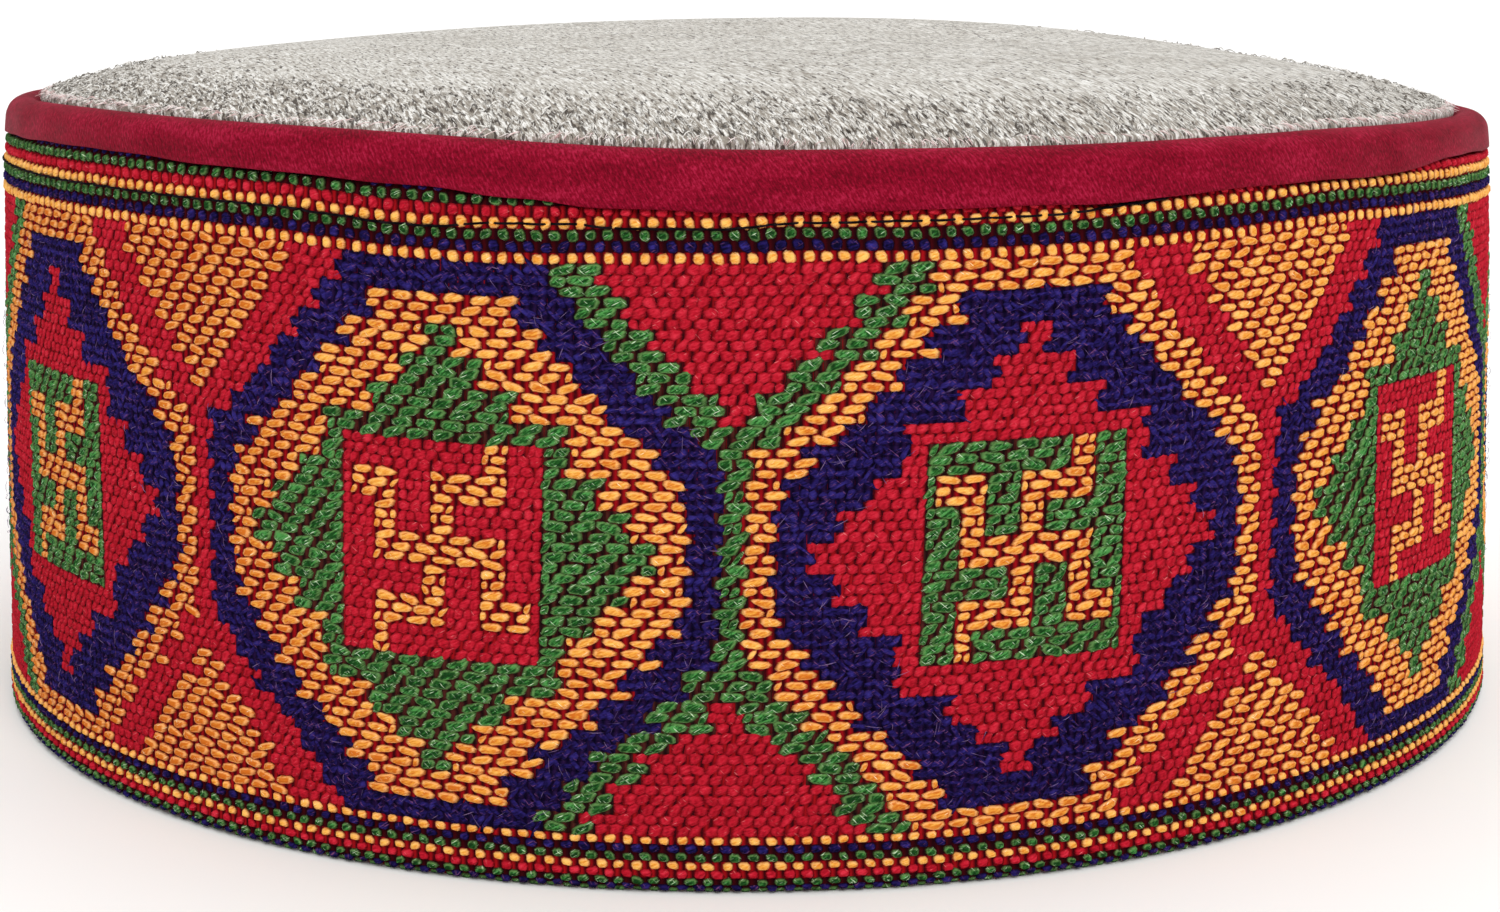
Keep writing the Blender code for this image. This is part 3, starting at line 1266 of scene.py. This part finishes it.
    def ground_piece(self, material: bpy.types.Material) -> None:
        """Make the ground cloth, a closed wall from the rim to the turned-up hem.

        Its section runs down the outside by the rows, and back up inside.

        Args:
            material: the ground's material.
        """
        form, cuff = self.form, self.cuff
        angle = round_angles(self.columns)
        arc = form.arc_at(angle)
        levels, tones = self.ground_rows()
        path = self.path_of(angle, levels[:, None])
        outside = self.surface(arc + 0 * path, path, 0 * path)
        cuff_inset = cuff.band_inset + cuff.cuff_band_cloth
        inset, height = columns_of([
            (cuff.hem_inset, cuff.hem_turn_up), (cuff.hem_inset, cuff.hem_floor),
            (cuff.band_cloth, cuff.hem_floor), (cuff.band_cloth, form.height / 2),
            (cuff.band_cloth, cuff.step_foot), (cuff_inset, cuff.step_head),
            (cuff_inset, cuff.cuff_top),
        ])
        points = np.concatenate([outside, form.wall(angle, inset, height + 0 * angle)])
        down = np.append(levels, levels[-1] - np.arange(1, len(inset) + 1) * 2 * MM)
        tone = np.append(tones, np.full(len(inset), 0.5))
        piece = Piece("band_ground")
        faces = grid_faces(len(points), self.columns, True, True)
        piece.add(points, [faces], cloth_uv(arc, down[:, None]), tone[:, None])
        piece.build([material], "woven_band", "patterned_band")

    def make(self) -> None:
        """Make the ground, the field's yarns and the border rows."""
        made = {yarn: finish.make() for yarn, finish in YARN_FINISHES.items()}
        self.ground_piece(GroundFinish().make())
        # Painted shade in the gaps of the green and navy floats, tinted brown and blue
        brown = GroundFinish("brown_gap_shade", (0.01, 0.004, 0.005), (0.08, 0.018, 0.014))
        self.gap_shade_piece(Yarn.GREEN, brown.make())
        blue = GroundFinish("blue_gap_shade", (0.003, 0.002, 0.014), (0.02, 0.007, 0.05))
        self.gap_shade_piece(Yarn.NAVY, blue.make())
        self.field_pieces(made)
        self.border_piece(made)


@dataclass
class BindingTape:
    """The maroon tape that is folded over the rim."""

    band: PatternBand
    columns: int = 440
    inner_foot: float = 69.6 * MM
    thread_radius: float = 0.13 * MM
    stitch: float = 3.1 * MM
    # Degrees round the cap, and the height of the seam's thread in millimetres
    thread_line: Table = (
        (-180, 67.4), (-120, 67.9), (-70, 67.5), (-44, 67.2), (-12, 67.15), (-8, 67.75), (-3, 67.8),
        (0, 67.3), (6, 67.2), (12, 67.6), (18, 67.8), (27, 67.8), (34, 68.3), (44, 70.6),
        (75, 70.6), (100, 68.2), (140, 67.7), (180, 67.4),
    )

    def section(self, angle: Array) -> tuple[Array, Array, Array]:
        """The tape's closed section at each angle.

        From the lining of the outer leg, in order: up that lining, over the
        lining of the fold, down the inner leg's lining, under that leg, up its
        face, over the fold, down the outer leg and under it to the start.

        Args:
            angle: angles round the cap.

        Returns:
            Inset, height and length along the cloth, one row for each point of
            the section.
        """
        form, cuff = self.band.form, self.band.cuff
        radius, edge = cuff.roll_radius, 0.25 * MM
        middle = cuff.inside_inset - radius
        level = form.height - radius + 0.12 * MM * waves(angle, 21, (4, 7, 11))
        foot = self.band.tape_foot(angle)
        inner_foot = self.inner_foot + 0 * angle
        face = -cuff.tape_proud
        back = face + cuff.tape_cloth

        def leg(inset: float, start: Array, end: Array, count: int) -> tuple[Array, Array]:
            """Points of a straight leg, without its end."""
            share = np.linspace(0, 1, count, endpoint=False)[:, None]
            return inset + 0 * share * angle, start + (end - start) * share

        def fold(size: float, start: float, end: float, count: int) -> tuple[Array, Array]:
            """Points of a round fold, without its end."""
            turn = np.radians(np.linspace(start, end, count, endpoint=False))[:, None]
            return middle - size * np.cos(turn) + 0 * angle, level + size * np.sin(turn)

        foot_insets = np.array([[face + 0.02 * MM], [face + edge], [back - edge], [back]])
        parts = [
            leg(back, foot + 2 * edge, level, 3),
            fold(radius - cuff.tape_cloth, 0, 180, 8),
            leg(cuff.tape_inside_inset, level, inner_foot, 2),
            leg(cuff.tape_inside_inset, inner_foot, inner_foot, 1),
            leg(cuff.inside_inset, inner_foot, level, 3),
            fold(radius, 180, 0, 16),
            leg(face, level, foot + edge, 7),
            (foot_insets + 0 * angle, np.stack([foot + edge * 0.5, foot, foot, foot + edge])),
        ]
        inset, height = (np.concatenate(rows) for rows in zip(*parts))
        steps = np.hypot(np.diff(inset, axis=0), np.diff(height, axis=0))
        return inset, height, np.concatenate([0 * steps[:1], np.cumsum(steps, axis=0)])

    def make(self) -> None:
        """Sweep the section round the rim, with small puckers in the cloth."""
        form = self.band.form
        angle = round_angles(self.columns)
        inset, height, length = self.section(angle)
        whole = length[-1] + np.hypot(inset[-1] - inset[0], height[-1] - height[0])
        pucker = waves(angle, 31, (23, 37, 52, 71)) * np.sin(length / whole * 4 * np.pi)
        points = form.wall(angle, inset + 0.07 * MM * pucker, height)
        piece = Piece("binding_tape")
        faces = grid_faces(len(inset), self.columns, True, True)
        piece.add(points, [faces], cloth_uv(form.arc_at(angle), -length))
        piece.build([TapeFinish().make()], "binding_tape", "top_binding")
        self.seam_thread()

    def seam_thread(self) -> None:
        """Make the dark thread that sews the band to the wall near the tape.

        A tube along a line that wanders between the upper rows. Its height over
        the cloth is the root of a slow sine's size, so that it dips at each hole.
        """
        band, radius = self.band, self.thread_radius
        count, sides = 1980, 5
        girth = band.form.girth()
        arc = np.linspace(0, girth, count, endpoint=False)
        angle = band.form.angle_at(arc)
        path = band.path_of(angle, MM * round_table(angle, self.thread_line))
        stitches = round(girth / self.stitch)
        lift = (0.75 * np.abs(np.sin(arc / girth * stitches * np.pi)) ** 0.5 - 0.20) * MM
        turn = np.linspace(0, -2 * np.pi, sides, endpoint=False)[:, None]
        points = band.surface(
            arc + 0 * turn, path + radius * np.cos(turn), lift + radius * np.sin(turn)
        )
        piece = Piece("seam_thread")
        piece.add(points, [grid_faces(sides, count, True, True)], cloth_uv(arc, turn * radius))
        finish = ThreadFinish("dark_thread", (0.002, 0.001, 0.002), (0.01, 0.006, 0.009))
        piece.build([finish.make()], "binding_tape")


@dataclass
class WoolCrown:
    """The cushioned disc of grey tweed, with its edge turned down inside the rim."""

    form: CapForm
    cuff: Cuff
    columns: int = 330
    rings: int = 56
    edge_rise: float = 0.5 * MM
    rise: float = 5.3 * MM
    power: float = 6.0
    lip: float = 0.6 * MM
    cloth: float = 1.8 * MM
    hem_cloth: float = 1.4 * MM
    turn_down: float = 66.4 * MM
    # Share of the radius where the painted edge shade starts
    edge_shade_from: float = 0.80
    pole: float = 0.012

    @property
    def edge_height(self) -> float:
        """Height of the face's edge before the rim's waves."""
        return self.form.height + self.edge_rise

    @property
    def edge(self) -> float:
        """Radius of the face's edge before the oval."""
        return float(self.form.outer_radius(np.array(self.edge_height))) - self.cuff.crown_inset

    def dome(self, share: Array, angle: Array) -> Array:
        """Height of the crown's face.

        The rise is one less a power of the share of the radius, with slow low
        swells from the cloth's ease, which fade out at the middle and the edge.
        """
        swell = waves(angle, 41, (2, 3, 5)) * share**2 * (1 - share) * 4
        return self.edge_height + self.rise * (1 - share**self.power) + 0.3 * MM * swell

    def make(self) -> None:
        """Make the face, the turned-down edge and the underside as one closed cloth."""
        form, lip, inset = self.form, self.lip, self.cuff.crown_inset
        angle = round_angles(self.columns)
        inner = inset + self.hem_cloth
        face = (1 - np.linspace(1, 0, self.rings)[:, None] ** 1.5) * 0.973 + self.pole + 0 * angle
        under = np.linspace(0.985, self.pole, 24)[:, None] + 0 * angle
        lip_inset, lip_height = columns_of([
            (inset - lip * 0.55, form.height + self.edge_rise * 0.85),
            (inset - lip * 0.85, form.height + self.edge_rise * 0.4),
            (inset - lip, form.height - lip / 2),
            (inset - lip * 0.6, form.height - lip * 1.3),
            (inset, form.height - lip * 2.4),
            (inset, form.height - 5 * MM),
            (inset, self.turn_down + 0.3 * MM),
            (inset + 0.3 * MM, self.turn_down),
            (inner, self.turn_down),
            (inner, self.edge_height - self.cloth - 1.5 * MM),
        ])
        lip_height = lip_height + 0 * angle
        lip_radius = form.outer_radius(lip_height) - lip_inset
        radius = np.concatenate([self.edge * face, lip_radius, (self.edge - self.hem_cloth) * under])
        top, bottom = self.dome(face, angle), self.dome(under, angle) - self.cloth
        points = form.place(angle, radius, np.concatenate([top, lip_height, bottom]))
        rows = len(radius)
        ring = np.arange(self.columns)[None, :]
        faces = [
            grid_faces(rows, self.columns, False, True), ring,
            ring[:, ::-1] + (rows - 1) * self.columns,
        ]
        # Painted shade towards the face's edge and over the turned-down lip, strongest a little left of
        # the front
        edge_shade_ramp = smooth_step((face - self.edge_shade_from) / (1 - self.edge_shade_from))
        painted_edge_shade = np.concatenate([edge_shade_ramp, 1 + 0 * lip_height, 0 * under])
        flank = painted_edge_shade * (0.55 + 0.45 * np.cos(angle + 0.3))
        piece = Piece("wool_crown")
        piece.add(points, faces, points[..., :2] / MM, flank=flank)
        finish = TweedFinish(
            "grey_tweed", fleck=(0.055, 0.042, 0.034), dark=(0.32, 0.285, 0.245),
            body=(0.63, 0.605, 0.56), light=(0.93, 0.92, 0.89),
        )
        piece.build([finish.make()], "wool_crown", "crown_top")


@dataclass
class WoolLining:
    """The grey wool wall behind the band, which shows inside the cap."""

    form: CapForm
    cuff: Cuff
    columns: int = 220

    def make(self) -> None:
        """Sweep the wall's section round the oval."""
        form, cuff = self.form, self.cuff
        outside = cuff.band_cloth + cuff.gap
        inside = outside + cuff.wall_cloth
        cuff_inside = cuff.wall_inset + cuff.cuff_wall_cloth
        down = np.linspace(cuff.step_foot, cuff.hem_floor + cuff.gap, 12)
        inset, height = columns_of([
            (cuff.wall_inset, cuff.cuff_top), (cuff.wall_inset, cuff.step_head),
            *((outside, level) for level in down), *((inside, level) for level in down[::-1]),
            (cuff_inside, cuff.step_head), (cuff_inside, cuff.cuff_top),
        ])
        angle = round_angles(self.columns)
        points = form.wall(angle, inset, height + 0 * angle)
        piece = Piece("wool_lining")
        faces = grid_faces(len(inset), self.columns, True, True)
        piece.add(points, [faces], cloth_uv(form.arc_at(angle), height))
        finish = TweedFinish(
            "lining_tweed", fleck=(0.05, 0.045, 0.04), dark=(0.26, 0.24, 0.22),
            body=(0.48, 0.46, 0.43), light=(0.76, 0.75, 0.72), coordinates="UV", scale=1.0,
        )
        piece.build([finish.make()], "wool_wall", "inner_wall")


@dataclass
class LooseFibres:
    """Wool ends and stitches: thin tubes along short curved lines."""

    band: PatternBand
    crown: WoolCrown
    seed: int = 23
    steps: int = 4
    navy_count: int = 1500
    nap_count: int = 2600
    edge_count: int = 1100
    hem_stitches: int = 96
    # The nap leans this way in plan
    nap_direction: tuple[float, float] = (-0.29, 0.96)

    def tubes(
        self, piece: Piece, lines: Array, facing: Array, radius: Array, material: int = 0
    ) -> None:
        """Add three-sided tubes with closed ends.

        Each corner is the line's point, plus the radius times the cosine of the
        corner's angle sideways, plus the radius times its sine outwards. The
        radius falls by half to the ends.

        Args:
            piece: the piece to add to.
            lines: points of each line, with axes of line, step and place.
            facing: direction that the cloth under each line faces.
            radius: radius of each tube.
            material: index of the tubes' material.
        """
        count, steps = lines.shape[:2]
        tangent = np.gradient(lines, axis=1)
        side = np.cross(tangent, facing)
        side /= np.linalg.norm(side, axis=-1, keepdims=True)
        out = np.cross(side, tangent)
        out /= np.linalg.norm(out, axis=-1, keepdims=True)
        fall = 0.5 + 0.5 * np.sin(np.linspace(0.0, np.pi, steps))
        reach = (radius[:, None] * fall)[:, :, None, None]
        turn = np.radians([90.0, 210.0, 330.0])[:, None]
        ring = np.cos(turn) * side[:, :, None, :] + np.sin(turn) * out[:, :, None, :]
        points = lines[:, :, None, :] + reach * ring
        size = steps * 3
        ends = np.array([[0, 1, 2]]), np.array([[size - 1, size - 2, size - 3]])
        blocks = (grid_faces(steps, 3, False, True), *ends)
        faces = [repeated(block, count, size) for block in blocks]
        piece.add(points, faces, points[..., :2] / MM, material=material)

    def wall_facing(self, lines: Array) -> Array:
        """The level direction away from the cap's axis at each line."""
        return lines.mean(axis=1, keepdims=True) * np.array([1.0, 1.0, 0.0])

    def on_band(self, arc: Array, height: Array, reach: Array, slant: Array, lift: Array) -> Array:
        """Lines that lie over the band.

        Args:
            arc: start of each line round the cap.
            height: height of each start.
            reach: length of each line.
            slant: angle of each line from level.
            lift: height of each line's middle over the ground cloth.

        Returns:
            The lines' points.
        """
        share = np.linspace(0, 1, self.steps)[None, :]
        arcs = arc[:, None] + share * (reach * np.cos(slant))[:, None]
        start = self.band.path_of(self.band.form.angle_at(arc), height)
        paths = start[:, None] - share * (reach * np.sin(slant))[:, None]
        return self.band.surface(arcs, paths, lift[:, None] * (0.75 + 0.25 * np.sin(share * np.pi)))

    def navy_hairs(self) -> None:
        """Make fine pale hairs over the navy yarns."""
        random, count = np.random.default_rng(self.seed), self.navy_count
        arc, height, _, _ = self.band.field_runs()[Yarn.NAVY]
        chosen = random.integers(0, len(arc), count)
        lines = self.on_band(
            arc[chosen] + random.uniform(-1.2, 1.2, count) * MM,
            height[chosen] + random.uniform(-0.5, 0.5, count) * MM,
            random.uniform(0.7, 1.8, count) * MM,
            random.normal(0.3, 0.8, count),
            random.uniform(0.45, 0.75, count) * MM,
        )
        piece = Piece("navy_hairs")
        radius = random.uniform(0.02, 0.045, count) * MM
        self.tubes(piece, lines, self.wall_facing(lines), radius)
        finish = ThreadFinish("navy_hair", (0.03, 0.014, 0.1), (0.26, 0.17, 0.34))
        piece.build([finish.make()], "woven_band")

    def crown_nap(self) -> None:
        """Make raised wool near the crown's edge, and ends that cross to the tape."""
        random = np.random.default_rng(self.seed + 1)
        form, crown = self.band.form, self.crown
        count, edge = self.nap_count + self.edge_count, crown.edge
        angle = random.uniform(-np.pi, np.pi, count)
        at_edge = np.arange(count) >= self.nap_count
        start = np.where(
            at_edge, edge + random.uniform(-0.5, 0.3, count) * MM,
            edge * (1 - 0.14 * random.uniform(0.02, 1, count) ** 1.6),
        )
        heading = angle + random.normal(0, 0.35, count)
        across, along = self.nap_direction
        outward = across * np.sin(heading) - along * np.cos(heading)
        sideways = across * np.cos(heading) + along * np.sin(heading)
        outward = np.where(at_edge, np.abs(outward) * 0.5 + 0.3, outward)
        reach = np.where(at_edge, random.uniform(0.8, 2.0, count), random.uniform(1.0, 2.6, count)) * MM
        share = np.linspace(0, 1, self.steps)[None, :]
        radius = start[:, None] + share * (reach * outward)[:, None]
        angles = angle[:, None] + share * (reach * sideways)[:, None] / start[:, None]
        rise = random.uniform(0.05, 0.35, count)[:, None] * MM * (0.4 + np.sin(share * np.pi))
        level = crown.dome(np.minimum(radius / edge, 1.0), angles)
        level = level - crown.edge_rise * np.clip((radius - edge) / MM, 0, 1)
        lines = form.place(angles, radius, level + rise)
        thick = np.where(at_edge, random.uniform(0.03, 0.06, count), random.uniform(0.05, 0.12, count))
        piece = Piece("crown_nap")
        for material, mine in enumerate((~at_edge, at_edge)):
            self.tubes(piece, lines[mine], np.array([0.0, 0.0, 1.0]), thick[mine] * MM, material)
        nap = ThreadFinish("pale_nap", (0.16, 0.14, 0.12), (0.92, 0.9, 0.86))
        ends = ThreadFinish("pale_ends", (0.7, 0.48, 0.47), (1.0, 0.92, 0.9))
        piece.build([nap.make(), ends.make()], "wool_crown")

    def stitches(self) -> None:
        """Make the band's upright seam at the back, and the stitches that hold the hem."""
        random = np.random.default_rng(self.seed + 2)
        band, form, cuff = self.band, self.band.form, self.band.cuff
        piece = Piece("stitches")
        height = np.arange(3.0, 67.0, 2.9) * MM
        count = len(height)
        back = np.full(count, band.layout.first_strip_arc + form.girth() / 2)
        lines = self.on_band(
            back + random.normal(0, 0.12, count) * MM, height,
            np.full(count, 2.0 * MM), random.normal(1.45, 0.08, count), np.full(count, 0.55 * MM),
        )
        self.tubes(piece, lines, self.wall_facing(lines), np.full(count, 0.15 * MM))

        count, proud = self.hem_stitches, 0.10 * MM
        angle = (np.arange(count) + random.uniform(-0.2, 0.2, count)) * 2 * np.pi / count
        share = np.linspace(0, 1, self.steps)[None, :]
        angles = angle[:, None] + share * 1.6 * MM / form.turned_radius
        level = cuff.hem_turn_up + (share * 1.9 - 1.0) * MM + 0 * angles
        inset = cuff.hem_inside_inset + proud - (cuff.hem_cloth + proud) * smooth_step(share * 2 - 1)
        lines = form.wall(angles, inset, level)
        self.tubes(piece, lines, -self.wall_facing(lines), np.full(count, 0.16 * MM))
        finish = ThreadFinish("maroon_thread", (0.06, 0.002, 0.006), (0.16, 0.004, 0.012))
        piece.build([finish.make()], "binding_tape")

    def make(self) -> None:
        """Make the hairs, the nap and the stitches."""
        self.navy_hairs()
        self.crown_nap()
        self.stitches()


@dataclass(frozen=True)
class Studio:
    """The pale floor, the soft lights and the camera."""

    camera_distance: float = 0.4069
    camera_height: float = 0.1106
    camera_pitch: float = 0.2094
    focal_pixels: float = 3264.5
    image_width: int = 1500
    sensor: float = 36.0
    floor_half: float = 6.0

    def floor(self) -> None:
        """Lay a plain pale sheet, far wider than the view."""
        mesh = bpy.data.meshes.new("floor")
        corners = [(-1, -1), (1, -1), (1, 1), (-1, 1)]
        points = [(x * self.floor_half, y * self.floor_half, 0) for x, y in corners]
        mesh.from_pydata(points, [], [(0, 1, 2, 3)])
        mesh.materials.append(Graph("pale_floor").finish((0.93, 0.93, 0.925), None, 0.9))
        new_object("floor", mesh)

    def light(self, name: str, place: Rgb, spread: float, power: float, colour: Rgb) -> None:
        """Add a wide, even light that shines on the cap from a direction.

        Args:
            name: the light's name.
            place: a point on the line that it shines along.
            spread: angle that the light fills, in degrees, for its softness.
            power: its strength.
            colour: its colour.
        """
        data = bpy.data.lights.new(name, "SUN")
        data.angle = math.radians(spread)
        data.energy = power
        data.color = colour
        lamp = new_object(name, data)
        lamp.location = place
        x, y, z = np.array([0.0, 0.0, 0.04]) - np.array(place)
        lamp.rotation_euler = (math.atan2(math.hypot(x, y), -z), 0.0, math.atan2(y, x) - math.pi / 2)

    def camera(self) -> None:
        """Set the photograph's view: a short way in front, looking down on the rim."""
        data = bpy.data.cameras.new("camera")
        data.sensor_width = self.sensor
        data.lens = self.focal_pixels / self.image_width * self.sensor
        data.clip_start = 0.01
        camera = new_object("camera", data)
        camera.location = (0.0, -self.camera_distance, self.camera_height)
        camera.rotation_euler = (math.pi / 2 - self.camera_pitch, 0.0, 0.0)
        bpy.context.scene.camera = camera

    def make(self) -> None:
        """Set the stage."""
        self.floor()
        self.light("key", (0.14, -0.78, 0.92), 40, 1.6, (1.0, 0.985, 0.96))
        self.light("top", (0.1, 0.35, 1.1), 50, 0.7, (1.0, 1.0, 1.0))
        world = bpy.data.worlds.new("studio")
        world.use_nodes = True
        background = world.node_tree.nodes["Background"]
        background.inputs["Color"].default_value = (1.0, 1.0, 1.0, 1.0)
        background.inputs["Strength"].default_value = 0.65
        bpy.context.scene.world = world
        bpy.context.scene.view_settings.view_transform = "Standard"
        self.camera()


def main() -> None:
    """Dress the cap and set the stage."""
    logging.basicConfig(level=logging.INFO, format="%(message)s")
    form, cuff = CapForm(), Cuff()
    band = PatternBand(form, cuff)
    Studio().make()
    band.make()
    BindingTape(band).make()
    crown = WoolCrown(form, cuff)
    crown.make()
    WoolLining(form, cuff).make()
    LooseFibres(band, crown).make()


if __name__ == "__main__":
    main()
